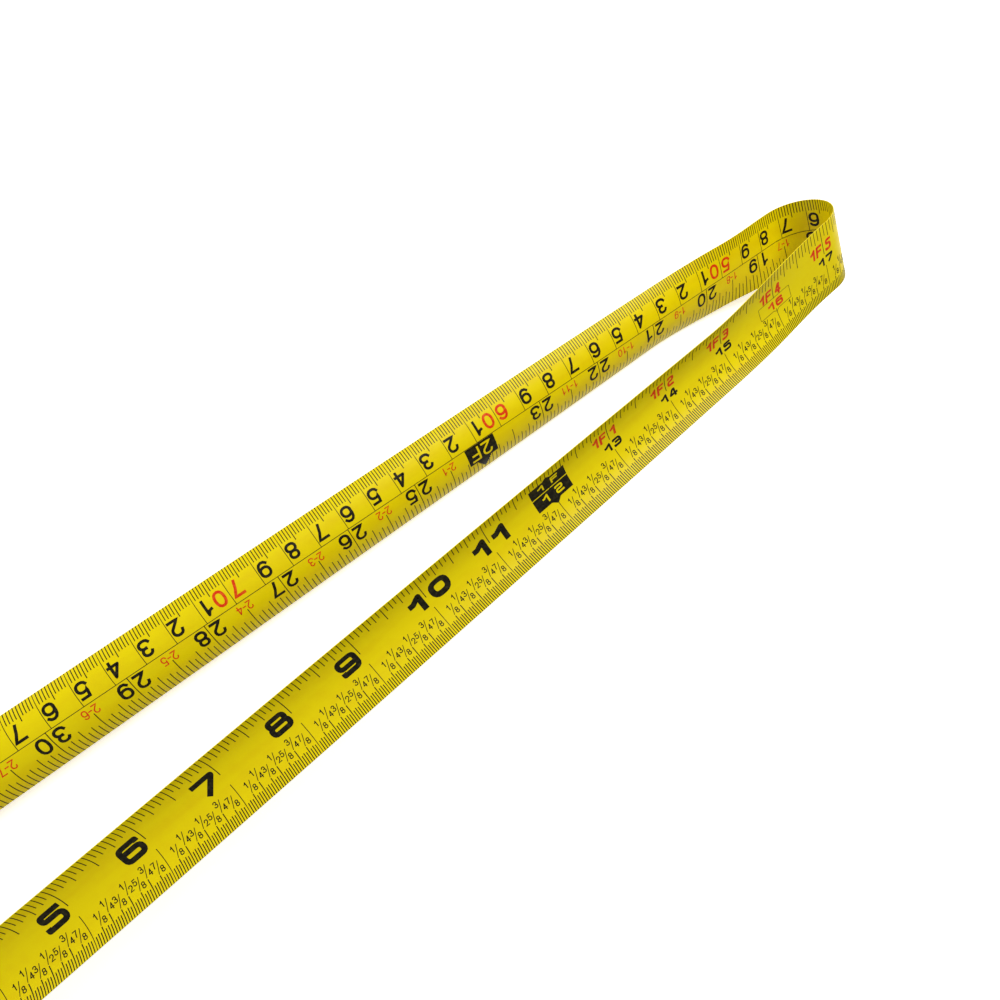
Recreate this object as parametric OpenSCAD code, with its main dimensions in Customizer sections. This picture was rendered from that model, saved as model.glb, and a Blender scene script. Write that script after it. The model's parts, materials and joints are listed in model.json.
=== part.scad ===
// Pocket tape measure lying on its side, with about a metre of blade drawn out
// and folded back over itself once. Millimetres, +Z up.
// The origin is where the drum's axis meets the case's lower side face.
// +X points from the drum to the mouth, +Y to the base of the case.

/* [Blade] */
// Width of the blade when it is pressed flat
blade_w = 25; // [20:0.5:32]
// Thickness of the painted steel
blade_t = 0.2; // [0.14:0.02:0.3]
// Radius of the hollow section of the free blade
section_r = 15; // [14:0.5:24]
// Length from the end hook to the mouth of the case
drawn_out = 1040; // [850:5:1500]

/* [Fold] */
// Length from the end hook to the middle of the fold
fold_at = 454.2; // [250:0.2:520]
// Radius that the blade is folded to
fold_r = 12.4; // [8:0.2:15]
// Tilt of the fold's axis from level
fold_tilt = 7; // [0:1:25]
// Angle between the two runs, seen from above
run_angle = 6.1; // [3:0.1:12]
// Height of the lower run above the surface
low_run_z = 8.2; // [8.1:0.1:14]
// Twist of both runs, in degrees for each millimetre
twist_rate = 0.104; // [0.05:0.002:0.12]
// Roll of the hook's run where it meets the fold
hook_run_roll = -10.4; // [-20:0.2:0]
// Roll of the case's run where it meets the fold
case_run_roll = -18.8; // [-28:0.2:-10]
// Length over which the section flattens on its way into the fold
flatten_l = 60; // [40:1:90]
// Length over which the blade turns from lying down to standing on its edge
stand_up_l = 205; // [150:5:260]
// Straight blade in front of the mouth
mouth_straight = 35; // [30:1:60]

/* [Drum and spring] */
// Outer radius of the wound blade
coil_r = 26.5; // [24:0.5:36]
// Outer radius of the drum's hub
hub_r = 17; // [12:0.5:18]
// Wall of the hub
hub_wall = 1.5; // [1:0.1:2]
// Thickness of each flange of the drum
flange_t = 1.2; // [1:0.1:2]
// How far the flanges stand out past the wound blade
flange_lip = 1; // [0.5:0.1:2]
// Radius of the fixed centre post
post_r = 4; // [3.5:0.1:5]
// Thickness of the recoil spring's strip
spring_t = 0.35; // [0.2:0.05:0.5]
// Turns of the recoil spring
spring_turns = 8; // [4:1:9]

/* [Case] */
// Wall of the moulded shells
wall = 2.2; // [1.8:0.1:3]
// Thickness of the soft grip on the sides
grip_side_t = 0.8; // [0.6:0.1:1.2]
// Thickness of the soft grip around the rim
grip_band_t = 1; // [0.6:0.1:1.5]
// Length of the nose past the round back
nose_l = 6; // [5:0.5:14]
// Distance from the blade to the base of the case
blade_to_base = 9; // [8:0.5:14]
// Radius of the corner above the lock button
brow_r = 8; // [6:0.5:10]
// Radius of the corner between mouth and base
toe_r = 4; // [3:0.5:5]
// Radius of the corner between base and back
heel_r = 14; // [13:0.5:16]
// Radius of the discs in the sides
disc_r = 17; // [14:0.5:20]
// Radius of the lanyard hole
lanyard_r = 2.25; // [1.5:0.05:2.6]

/* [Lock] */
// Travel of the lock button
lock_travel = 5; // [3:0.1:5]
// Width of the lock button
lock_w = 16; // [12:1:20]
// Length of the lock button
lock_l = 14; // [12:1:15]
// How far the lock button stands out
lock_h = 4.2; // [3:0.1:6]
// Thickness of the rubber brake pad
pad_t = 1; // [0.6:0.1:1.5]

/* [End hook] */
// Thickness of the hook's plate, which is also how far the hook slides
hook_t = 1; // [0.8:0.1:1.2]
// Width of the hook
hook_w = 19; // [16:0.5:21]
// Length of the tab that lies in the hollow of the blade
hook_tab_l = 17; // [16:0.5:24]
// Depth of the lip past the blade
hook_lip = 11; // [8:0.5:16]
// Radius of the nail hole in the lip
nail_r = 1.6; // [1.2:0.1:2]
// Radius of the rivets
rivet_r = 1.2; // [1:0.1:1.5]
// Distance between the two rivets
rivet_pitch = 7; // [6:0.5:8]

/* [Belt clip] */
// Width of the clip
clip_w = 20; // [14:1:24]
// Thickness of the clip's spring steel
clip_t = 1; // [0.8:0.1:1.2]
// Gap between the case and the clip
clip_gap = 5.2; // [5:0.1:7]
// Length of the clip's straight tongue
clip_l = 46; // [40:1:52]

/* [Screws] */
// Radius of the screws' shanks
screw_r = 1.45; // [1.2:0.05:1.6]
// Radius of the screws' heads
screw_head_r = 2.8; // [2.4:0.1:3]
// Height of the screws' heads
screw_head_h = 1.8; // [1.2:0.1:2]

/* [Hidden] */
$fn = 64;
eps = 0.01;

// Clearances
side_gap = 1;          // drum flange to the inside of the case
edge_gap = 1.3;        // edge of the wound blade to the flange
drum_room = 3.3;       // rim of the flange to the wall of the case
run_gap = 0.05;        // running fit of the drum on its post
slide_gap = 0.3;       // faces that slide past each other
guide_gap = 0.5;       // blade to the guide in the mouth
seat_gap = 0.05;       // hook's lip to the end of the blade

// Stack across the case, from the lower side up
half_t = grip_side_t + wall + side_gap + flange_t + edge_gap + blade_w / 2;
case_t = 2 * half_t;
floor_z = grip_side_t + wall;
roof_z = case_t - floor_z;
low_flange_z = floor_z + side_gap;
hub_z0 = low_flange_z + flange_t;
hub_z1 = case_t - hub_z0;

// Outline of the case, seen from the side
flange_r = coil_r + flange_lip;
case_r = flange_r + drum_room + wall + grip_band_t;
front_x = case_r + nose_l;
blade_y = coil_r + 0.5;
base_y = blade_y + blade_to_base;
brow_y = -4;
skin = wall + grip_band_t;
CORNERS = [
    [0, 0, case_r],
    [front_x - brow_r, brow_y, brow_r],
    [front_x - toe_r, base_y - toe_r, toe_r],
    [-(case_r - heel_r), base_y - heel_r, heel_r]
];
grip_x = front_x - 16;
grip_y = base_y - 14;
heel = [CORNERS[3][0], CORNERS[3][1]];
lanyard_at = heel + [-5.5, 5.5];
boss_r = screw_r + 1;
SCREWS = [
    [front_x - 7.5, brow_y - 2.5],
    (flange_r + boss_r + slide_gap) * [cos(225), sin(225)],
    heel + [-7.5, -6],
    [front_x - 4.5, blade_y - 12]
];

// Mouth
mouth_z = blade_w / 2 + 0.7;
section_depth = section_r * (1 - cos(blade_w / 2 / section_r * 180 / PI));
mouth_y0 = blade_y - section_depth - 1.6;
guide_y = blade_y + blade_t / 2 + guide_gap;
guide_lip = 1.4;
bumper_y = guide_y + guide_lip + 0.2;
bumper_l = 4;
bumper_in = 1.2;
bumper_out = 0.8;

// Lock
lock_y = 1;
stem_l = 4;
stem_w = 7;
arm_x = flange_r + 0.5;
arm_w = 10;
arm_t = 4;
pad_y = blade_y - blade_t / 2 - 1 - pad_t - lock_travel;

// Fold and runs, as lengths along the blade from the end hook
lead = run_angle / 2;
fold_shift = PI * fold_r * tan(lead);
fold_l = sqrt(pow(PI * fold_r, 2) + pow(fold_shift, 2));
fold_s0 = fold_at - fold_l / 2;
fold_s1 = fold_at + fold_l / 2;
stand_s1 = drawn_out - mouth_straight;
stand_s0 = stand_s1 - stand_up_l;
settle_l = 25;
blade_in = 38;
flat_s = drawn_out + 14;
curved_s = drawn_out + 2;
fold_x = front_x + drawn_out - fold_s1;
seam = 0.3;

function clamp01(u) = min(1, max(0, u));
function ease(u) = let (c = clamp01(u)) c * c * (3 - 2 * c);
function mix(a, b, u) = a + (b - a) * u;
function deg(rad) = rad * 180 / PI;
function turn_z(p, a) = [p[0] * cos(a) - p[1] * sin(a), p[0] * sin(a) + p[1] * cos(a), p[2]];
function across_at(roll, heading) = turn_z([0, -cos(roll), sin(roll)], heading);
function up_at(roll, heading) = turn_z([0, sin(roll), cos(roll)], heading);

// Curvature of the section: none in the fold and on the drum
function curvature(s) =
    (s < fold_s0 ? ease((fold_s0 - s) / flatten_l)
     : s < fold_s1 ? 0
     : s < curved_s ? ease((s - fold_s1) / flatten_l)
     : 1 - ease((s - curved_s) / (flat_s - curved_s))) / section_r;

// Roll of the case's run: a steady twist, then up on to the edge before the mouth
function low_roll(s) = let (l = s - fold_s1)
    mix(-fold_tilt, case_run_roll + twist_rate * l, ease(l / settle_l));
function case_roll(s) =
    s < stand_s0 ? low_roll(s)
    : s > stand_s1 ? 90
    : let (u = (s - stand_s0) / stand_up_l, r0 = low_roll(stand_s0))
      mix(r0, 90, ease(u)) + twist_rate * stand_up_l * u * (1 - u) * (1 - u);
function hook_roll(s) = let (l = fold_s0 - s)
    mix(-fold_tilt, hook_run_roll + twist_rate * l, ease(l / settle_l));

// Heading of the section: both runs take the fold's heading where they meet it
function case_heading(s) = mix(lead, 0, ease((s - fold_s1) / settle_l));
function hook_heading(s) = mix(lead, run_angle, ease((fold_s0 - s) / settle_l));

// Middle of the fold, and its outward directions
fold_up = up_at(-fold_tilt, lead);
fold_across = across_at(-fold_tilt, lead);
fold_out = turn_z([1, 0, 0], lead);
fold_start = [fold_x, blade_y, low_run_z];
fold_mid = fold_start + fold_r * fold_up;
function fold_point(turn) = fold_mid + fold_r * (sin(turn) * fold_out - cos(turn) * fold_up)
    + fold_shift * turn / 180 * fold_across;
fold_end = fold_point(180);

// Each station of the blade: centre, direction across, normal of the hollow's back
function case_station(s) = let (r = case_roll(s), h = case_heading(s)) [
    [front_x + drawn_out - s, blade_y, mix(low_run_z, half_t, ease((s - stand_s0) / stand_up_l))],
    across_at(r, h), up_at(r, h), curvature(s)];
function fold_station(s) = let (turn = 180 * (fold_s1 - s) / fold_l) [
    fold_point(turn), fold_across, cos(turn) * fold_up - sin(turn) * fold_out, 0];
function hook_station(s) = let (r = hook_roll(s), h = hook_heading(s)) [
    fold_end + (s - fold_s0) * turn_z([1, 0, 0], run_angle),
    across_at(r, h), -up_at(r, h), curvature(s)];

section_n = 8;
function blade_point(st, q, off) = let (k = max(st[3], 1e-6), a = deg(k * q))
    st[0] + sin(a) / k * st[1] - (1 - cos(a)) / k * st[2] + off * (cos(a) * st[2] + sin(a) * st[1]);
function blade_ring(st) = concat(
    [for (j = [0:section_n]) blade_point(st, blade_w * (j / section_n - 0.5), blade_t / 2)],
    [for (j = [section_n:-1:0]) blade_point(st, blade_w * (j / section_n - 0.5), -blade_t / 2)]);

// A face with four corners, cut in two from its first or from its second corner
function halves(a, b, c, d, second) = second ? [[a, b, d], [b, c, d]] : [[a, b, c], [a, c, d]];

// A closed strip through a list of stations, capped at both ends. Both sides of the steel are
// cut along the same diagonals, so the thin wall stays even where it twists.
module strip(stations) {
    n = len(stations);
    m = 2 * (section_n + 1);
    far = (n - 1) * m;
    polyhedron([for (st = stations) each blade_ring(st)], [
        for (i = [0:n - 2], j = [0:m - 1]) let (at = i * m, k = (j + 1) % m)
            each halves(at + j, at + m + j, at + m + k, at + k, j > section_n),
        for (j = [0:section_n - 1]) each halves(j, j + 1, m - 2 - j, m - 1 - j, false),
        for (j = [0:section_n - 1])
            each halves(far + m - 1 - j, far + m - 2 - j, far + j + 1, far + j, false)
    ], convexity = 8);
}

// Corners of the case joined by their common tangents
function side_angle(a, b) = let (d = [b[0] - a[0], b[1] - a[1]])
    atan2(d[1], d[0]) - acos((a[2] - b[2]) / norm(d));
function arc_points(i, grow) = let (
        n = len(CORNERS),
        c = CORNERS[i],
        a0 = side_angle(CORNERS[(i + n - 1) % n], c),
        a1 = side_angle(c, CORNERS[(i + 1) % n]),
        sweep = (a1 - a0 + 720) % 360,
        steps = ceil(sweep / 6))
    [for (j = [0:steps]) let (a = a0 + sweep * j / steps)
        [c[0] + (c[2] + grow) * cos(a), c[1] + (c[2] + grow) * sin(a)]];

module outline(grow) {
    polygon([for (i = [0:len(CORNERS) - 1]) each arc_points(i, grow)]);
}

module grip_zone() {
    translate([-2 * case_r, -2 * case_r])
        square([2 * case_r + grip_x, 2 * case_r + grip_y]);
}

module block(low, high) {
    translate(low) cube(high - low);
}

// One half of the case as it is moulded, before anything is cut from it
module shell_half() {
    difference() {
        linear_extrude(half_t) outline(0);
        translate([0, 0, -eps]) linear_extrude(grip_side_t + eps) intersection() {
            grip_zone();
            outline(1);
        }
        translate([0, 0, -eps]) linear_extrude(half_t + 1) intersection() {
            grip_zone();
            difference() {
                outline(1);
                outline(-grip_band_t);
            }
        }
        translate([0, 0, floor_z]) linear_extrude(half_t) outline(-skin);
    }
    translate([0, 0, floor_z - eps]) linear_extrude(half_t - floor_z + eps) intersection() {
        outline(-grip_band_t - 0.4);
        union() {
            for (p = SCREWS) translate(p) circle(boss_r);
            translate(lanyard_at) circle(lanyard_r + 2);
        }
    }
}

// Openings that both halves share, cut across the parting plane
module shared_cuts() {
    block([front_x - skin - 1, mouth_y0, half_t - mouth_z],
          [front_x + 1, guide_y + guide_lip, half_t + mouth_z]);
    block([front_x - skin - 1, lock_y - stem_l / 2 - slide_gap, half_t - stem_w / 2 - slide_gap],
          [front_x + 1, lock_y + stem_l / 2 + lock_travel + slide_gap, half_t + stem_w / 2 + slide_gap]);
    block([front_x - bumper_in, bumper_y, half_t - 10], [front_x + 2, bumper_y + bumper_l, half_t + 10]);
    block([-16, base_y - 1, half_t - 13], [front_x - 10, base_y + 1, half_t + 13]);
    translate([lanyard_at[0], lanyard_at[1], -1]) cylinder(r = lanyard_r, h = case_t + 2);
}

module case_left() {
    color("#2b2c2e") difference() {
        shell_half();
        shared_cuts();
        for (p = SCREWS) translate([p[0], p[1], 9]) cylinder(r = screw_r - 0.05, h = half_t);
        translate([0, 0, floor_z - 1.4]) block([-2.6, -2.6, 0], [2.6, 2.6, 2]);
    }
}

module case_right() {
    color("#2b2c2e") difference() {
        translate([0, 0, case_t]) mirror([0, 0, 1]) shell_half();
        shared_cuts();
        for (p = SCREWS) translate([p[0], p[1], half_t - 1]) {
            cylinder(r = screw_r + 0.15, h = half_t);
            translate([0, 0, roof_z + 0.2 - half_t + 1]) cylinder(r = screw_head_r + 0.2, h = 10);
        }
        translate([0, 0, roof_z - 1]) cylinder(r = screw_r + 0.15, h = 10);
        translate([0, 0, roof_z + 1]) cylinder(r = 3.7, h = 10);
    }
}

// Soft grip of one side: a thin face with a window for the disc, and a band round the rim
module grip_half() {
    linear_extrude(grip_side_t) difference() {
        intersection() {
            grip_zone();
            outline(0);
        }
        circle(disc_r + slide_gap);
    }
    translate([0, 0, grip_side_t]) linear_extrude(half_t - grip_side_t) intersection() {
        grip_zone();
        difference() {
            outline(0);
            outline(-grip_band_t);
        }
    }
}

module grip_left() {
    color("#e0b400") grip_half();
}

module grip_right() {
    color("#e0b400") difference() {
        translate([0, 0, case_t]) mirror([0, 0, 1]) grip_half();
        for (p = SCREWS) translate([p[0], p[1], half_t]) cylinder(r = screw_head_r + 0.3, h = half_t + 1);
    }
}

module side_disc_left() {
    color("#c9ccd0") cylinder(r = disc_r, h = grip_side_t);
}

module side_disc_right() {
    color("#c9ccd0") translate([0, 0, case_t - grip_side_t]) cylinder(r = disc_r, h = grip_side_t);
}

module base_strip() {
    color("#8d9093") block([-16, base_y - 1, half_t - 13], [front_x - 10, base_y, half_t + 13]);
}

module mouth_guide() {
    color("#e8e6df") {
        intersection() {
            block([arm_x, guide_y, half_t - 12], [front_x - skin, base_y - skin, half_t + 12]);
            linear_extrude(case_t) outline(-skin);
        }
        block([front_x - skin - eps, guide_y, half_t - 12],
              [front_x - 0.5, guide_y + guide_lip, half_t + 12]);
    }
}

module hook_bumper() {
    color("#1c1c1c") block([front_x - bumper_in, bumper_y, half_t - 10],
                           [front_x + bumper_out, bumper_y + bumper_l, half_t + 10]);
}

module screw(head_r, head_h, shank_l) {
    difference() {
        union() {
            cylinder(r = head_r, h = head_h);
            translate([0, 0, -shank_l]) cylinder(r = screw_r, h = shank_l + eps);
        }
        for (a = [0, 90]) rotate(a) translate([-head_r * 0.6, -0.35, head_h - 0.9])
            cube([head_r * 1.2, 0.7, 1]);
    }
}

module case_screws() {
    color("#9a9da1") for (p = SCREWS) translate([p[0], p[1], roof_z + 0.2])
        screw(screw_head_r, screw_head_h, roof_z - 11);
}

module spring_post() {
    color("#b9bcc0") difference() {
        union() {
            translate([0, 0, floor_z]) cylinder(r = post_r, h = roof_z - floor_z);
            translate([0, 0, floor_z - 1.4]) block([-2.55, -2.55, 0], [2.55, 2.55, 1.5]);
        }
        translate([0, 0, roof_z - 12]) cylinder(r = screw_r - 0.05, h = 13);
        block([0, -0.4, hub_z0 + 1], [post_r + 1, 0.4, hub_z1 - 10]);
    }
}

module post_screw() {
    color("#9a9da1") translate([0, 0, roof_z + 1]) screw(3.5, wall - 1, 10);
}

// Strip bent back on itself: a foot on the case, a round bend and a long tongue
module belt_clip() {
    bend_r = (clip_gap - clip_t) / 2;
    bend_y = -(case_r - bend_r - clip_t - 0.5);
    screw_y = bend_y + 6.4;
    color("#c4c7ca") difference() {
        translate([-clip_w / 2, bend_y, case_t]) rotate([90, 0, 90]) linear_extrude(clip_w) {
            square([13, clip_t]);
            translate([0, clip_gap]) square([clip_l, clip_t]);
            translate([0, clip_t + bend_r]) difference() {
                circle(bend_r + clip_t);
                circle(bend_r);
                translate([0, -20]) square([20, 40]);
            }
            translate([clip_l - eps, clip_gap]) rotate(12) square([5, clip_t]);
        }
        translate([0, screw_y, case_t - 1]) cylinder(r = screw_r + 0.15, h = clip_t + 2);
        translate([0, screw_y, case_t + clip_gap - 0.5]) cylinder(r = 3.6, h = clip_t + 1);
    }
}

module clip_screw() {
    bend_r = (clip_gap - clip_t) / 2;
    screw_y = -(case_r - bend_r - clip_t - 0.5) + 6.4;
    color("#9a9da1") translate([0, screw_y, case_t + clip_t]) screw(3, 1.4, grip_side_t + wall);
}

module drum() {
    color("#f2f0ea") difference() {
        union() {
            translate([0, 0, low_flange_z]) cylinder(r = flange_r, h = flange_t);
            translate([0, 0, hub_z0 - eps]) cylinder(r = hub_r, h = hub_z1 - hub_z0 + eps);
        }
        translate([0, 0, hub_z0]) cylinder(r = hub_r - hub_wall, h = case_t);
        cylinder(r = post_r + run_gap, h = case_t);
    }
}

module drum_cover() {
    color("#f2f0ea") difference() {
        translate([0, 0, hub_z1]) cylinder(r = flange_r, h = flange_t);
        cylinder(r = post_r + run_gap, h = case_t);
    }
}

// Flat spiral: the radius grows evenly with the angle
module recoil_spring() {
    r0 = post_r + 0.5;
    r1 = hub_r - hub_wall - 0.5;
    steps = spring_turns * 24;
    function spiral(r, i) = (r + (r1 - r0) * i / steps) * [cos(i * 15), sin(i * 15)];
    color("#7f8a94") translate([0, 0, hub_z0 + 2]) linear_extrude(hub_z1 - hub_z0 - 4) {
        polygon(concat([for (i = [0:steps]) spiral(r0, i)],
            [for (i = [steps:-1:0]) spiral(r0 - spring_t, i)]));
    }
}

module blade_coil() {
    color("#d8c400") translate([0, 0, half_t - blade_w / 2]) difference() {
        cylinder(r = coil_r, h = blade_w);
        translate([0, 0, -1]) cylinder(r = hub_r, h = blade_w + 2);
    }
}

module blade_case_run() {
    low_n = 20;
    stand_n = 20;
    color("#d8c400") strip([
        for (i = [0:low_n]) case_station(mix(fold_s1, stand_s0, i / low_n)),
        for (i = [1:stand_n]) case_station(mix(stand_s0, stand_s1, i / stand_n)),
        for (i = [0:6]) case_station(mix(curved_s, flat_s, i / 6)),
        case_station(drawn_out + blade_in)
    ]);
}

module blade_fold() {
    n = 24;
    color("#d8c400") strip([for (i = [0:n]) fold_station(mix(fold_s0, fold_s1, i / n))]);
}

module blade_hook_run() {
    n = 30;
    color("#d8c400") strip([for (i = [0:n]) hook_station(mix(0, fold_s0 - seam, i / n))]);
}

// Puts its children at the end of the blade: X back along the blade, Z into the hollow
module at_hook() {
    translate(hook_station(0)[0]) rotate([0, 0, run_angle]) rotate([-hook_roll(0), 0, 0]) children();
}

rivet_x = 5;
tab_r = section_r - blade_t / 2 - 0.4;

module along_x(r, x0, x1) {
    translate([x0, 0, section_r]) rotate([0, 90, 0]) cylinder(r = r, h = x1 - x0);
}

module end_hook() {
    front = -seat_gap - hook_t;
    lip_corner = 3;
    color("#c4c7ca") at_hook() difference() {
        union() {
            intersection() {
                along_x(tab_r, front, hook_tab_l);
                block([front, -hook_w / 2, 0], [hook_tab_l, hook_w / 2, section_r]);
            }
            translate([front, 0, 0]) rotate([90, 0, 90]) linear_extrude(hook_t) {
                translate([-hook_w / 2, lip_corner - hook_lip])
                    square([hook_w, hook_lip - lip_corner + 3.4]);
                translate([lip_corner - hook_w / 2, -hook_lip])
                    square([hook_w - 2 * lip_corner, lip_corner + 1]);
                for (y = [-1, 1]) translate([y * (hook_w / 2 - lip_corner), lip_corner - hook_lip])
                    circle(lip_corner);
            }
        }
        along_x(tab_r - hook_t, front - 1, hook_tab_l + 1);
        for (x = [0, rivet_pitch]) {
            translate([rivet_x + x, 0, -2]) cylinder(r = rivet_r + 0.1, h = 6);
            translate([rivet_x + x + hook_t, 0, -2]) cylinder(r = rivet_r + 0.1, h = 6);
            block([rivet_x + x, -rivet_r - 0.1, -2], [rivet_x + x + hook_t, rivet_r + 0.1, 4]);
        }
        translate([front - 1, 0, -hook_lip * 0.55]) rotate([0, 90, 0]) cylinder(r = nail_r, h = hook_t + 2);
    }
}

module hook_rivets() {
    tab_top = section_r - tab_r + hook_t;
    color("#a9adb1") at_hook() for (x = [0, rivet_pitch]) translate([rivet_x + x, 0, 0]) {
        translate([0, 0, -1]) cylinder(r = rivet_r, h = tab_top + 1.4);
        translate([0, 0, tab_top + 0.3]) cylinder(r = 2.3, h = 0.6);
        translate([0, 0, -1.3]) cylinder(r = 2.3, h = 0.7);
    }
}

module rivet_plate() {
    back_r = section_r + blade_t / 2 + 0.02;
    color("#a9adb1") at_hook() difference() {
        intersection() {
            along_x(back_r + 0.5, 1.5, hook_tab_l - 1.5);
            block([1.5, -7, -2], [hook_tab_l - 1.5, 7, section_r]);
        }
        along_x(back_r, 0, hook_tab_l);
    }
}

module lock_button() {
    color("#e0b400") {
        block([front_x + slide_gap, lock_y - lock_l / 2, half_t - lock_w / 2],
              [front_x + lock_h, lock_y + lock_l / 2, half_t + lock_w / 2]);
        for (i = [-2:2]) translate([front_x + lock_h - 0.1, lock_y + i * 2.2, half_t - lock_w / 2 + 1])
            block([0, -0.5, 0], [0.7, 0.5, lock_w - 2]);
        block([arm_x + arm_t, lock_y - stem_l / 2, half_t - stem_w / 2],
              [front_x + slide_gap + eps, lock_y + stem_l / 2, half_t + stem_w / 2]);
    }
}

module brake_arm() {
    color("#3a3b3d") block([arm_x, lock_y - stem_l / 2, half_t - arm_w / 2],
                           [arm_x + arm_t, pad_y, half_t + arm_w / 2]);
}

module brake_pad() {
    color("#1c1c1c") block([arm_x, pad_y, half_t - arm_w / 2 + 1],
                           [arm_x + arm_t, pad_y + pad_t, half_t + arm_w / 2 - 1]);
}

case_left();
case_right();
grip_left();
grip_right();
side_disc_left();
side_disc_right();
base_strip();
mouth_guide();
hook_bumper();
case_screws();
spring_post();
post_screw();
belt_clip();
clip_screw();
drum();
drum_cover();
recoil_spring();
blade_coil();
blade_case_run();
blade_fold();
blade_hook_run();
end_hook();
hook_rivets();
rivet_plate();
lock_button();
brake_arm();
brake_pad();
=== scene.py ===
import json
import math

import bmesh
import bpy
import numpy as np
from mathutils import Matrix, Vector


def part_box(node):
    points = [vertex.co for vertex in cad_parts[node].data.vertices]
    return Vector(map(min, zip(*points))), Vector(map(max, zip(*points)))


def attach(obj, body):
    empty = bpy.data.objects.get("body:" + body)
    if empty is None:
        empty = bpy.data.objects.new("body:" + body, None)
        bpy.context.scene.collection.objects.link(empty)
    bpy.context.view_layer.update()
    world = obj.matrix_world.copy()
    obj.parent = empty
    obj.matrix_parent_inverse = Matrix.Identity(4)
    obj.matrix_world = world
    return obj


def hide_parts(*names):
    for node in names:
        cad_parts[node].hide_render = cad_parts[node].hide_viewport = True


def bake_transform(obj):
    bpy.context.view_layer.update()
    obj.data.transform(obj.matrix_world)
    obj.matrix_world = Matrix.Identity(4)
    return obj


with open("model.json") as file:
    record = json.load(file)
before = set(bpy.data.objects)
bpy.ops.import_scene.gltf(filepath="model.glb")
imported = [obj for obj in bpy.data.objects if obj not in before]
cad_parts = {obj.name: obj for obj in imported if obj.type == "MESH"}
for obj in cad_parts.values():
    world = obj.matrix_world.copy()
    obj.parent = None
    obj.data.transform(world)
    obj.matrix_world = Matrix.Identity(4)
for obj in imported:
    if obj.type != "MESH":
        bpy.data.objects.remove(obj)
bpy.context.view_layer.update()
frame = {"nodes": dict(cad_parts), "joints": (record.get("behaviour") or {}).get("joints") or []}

JOINTS = {joint["name"]: joint for joint in frame["joints"]}
MM = 0.001
INCH = 0.0254

# Camera: it looks down on the fold from beyond the drawn-out blade, close enough that the
# case and the end hook lie outside the view. Its roll lets the blade climb to the right.
CAMERA_AT = Vector((0.4070, 0.1223, 0.2359))
CAMERA_AIM = Vector((0.4647, 0.0113, 0.0194))
CAMERA_UP = Vector((0.5579, 0.7894, -0.2559))
camera = bpy.data.objects.new("camera", bpy.data.cameras.new("camera"))
bpy.context.collection.objects.link(camera)
camera.data.lens = 27.81
camera.data.sensor_width = 36
camera.data.clip_start = 0.01
camera.location = CAMERA_AT
sight = (CAMERA_AIM - CAMERA_AT).normalized()
right = sight.cross(CAMERA_UP).normalized()
above = right.cross(sight)
camera.rotation_euler = Matrix((right, above, -sight)).transposed().to_euler()
bpy.context.scene.camera = camera


# Blade: one strip of 0.2 mm spring steel, 25 mm wide and hollow like a gutter, painted
# yellow on both faces. It runs from the end hook to the fold, goes
# round the fold with its hollow pressed flat, and back to the case, where it turns on
# to its edge. All places are lengths along the blade from the end hook.
BLADE_WIDTH = 25 * MM
BLADE_THICKNESS = 0.2 * MM
SECTION_RADIUS = 15 * MM
FOLD_AT = 454.2 * MM
FOLD_RADIUS = 12.4 * MM
FOLD_TILT = math.radians(7)
FLATTEN = 60 * MM
SETTLE = 25 * MM
TWIST_RATE = math.radians(104)
HOOK_RUN_ROLL = math.radians(-10.4)
CASE_RUN_ROLL = math.radians(-18.8)
MOUTH_AT = 1040 * MM
STAND_END = MOUTH_AT - 35 * MM
STAND_START = STAND_END - 205 * MM
CURVED_END = MOUTH_AT + 2 * MM
FLAT_START = MOUTH_AT + 14 * MM
BLADE_END = MOUTH_AT + 38 * MM

FOLD_END_POINT = np.array(JOINTS["fold_open"]["pos_m"])
FOLD_ACROSS = -np.array(JOINTS["fold_open"]["axis"])
FOLD_ACROSS /= np.linalg.norm(FOLD_ACROSS)
HOOK_RUN_DIRECTION = -np.array(JOINTS["hook_slide"]["axis"])
RUN_ANGLE = math.atan2(HOOK_RUN_DIRECTION[1], HOOK_RUN_DIRECTION[0])
FOLD_OUT = np.array([math.cos(RUN_ANGLE / 2), math.sin(RUN_ANGLE / 2), 0])
FOLD_UP = np.cross(FOLD_ACROSS, FOLD_OUT)
FOLD_SHIFT = math.pi * FOLD_RADIUS * math.tan(RUN_ANGLE / 2)
FOLD_LENGTH = math.hypot(math.pi * FOLD_RADIUS, FOLD_SHIFT)
FOLD_START = FOLD_AT - FOLD_LENGTH / 2
FOLD_END = FOLD_AT + FOLD_LENGTH / 2
FOLD_START_POINT = FOLD_END_POINT - 2 * FOLD_RADIUS * FOLD_UP - FOLD_SHIFT * FOLD_ACROSS
MOUTH_HEIGHT = (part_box("blade_coil")[0][2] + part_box("blade_coil")[1][2]) / 2


def ease(u):
    """Goes from 0 to 1 with level ends: three u squared less two u cubed."""
    u = np.clip(u, 0, 1)
    return u * u * (3 - 2 * u)


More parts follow.
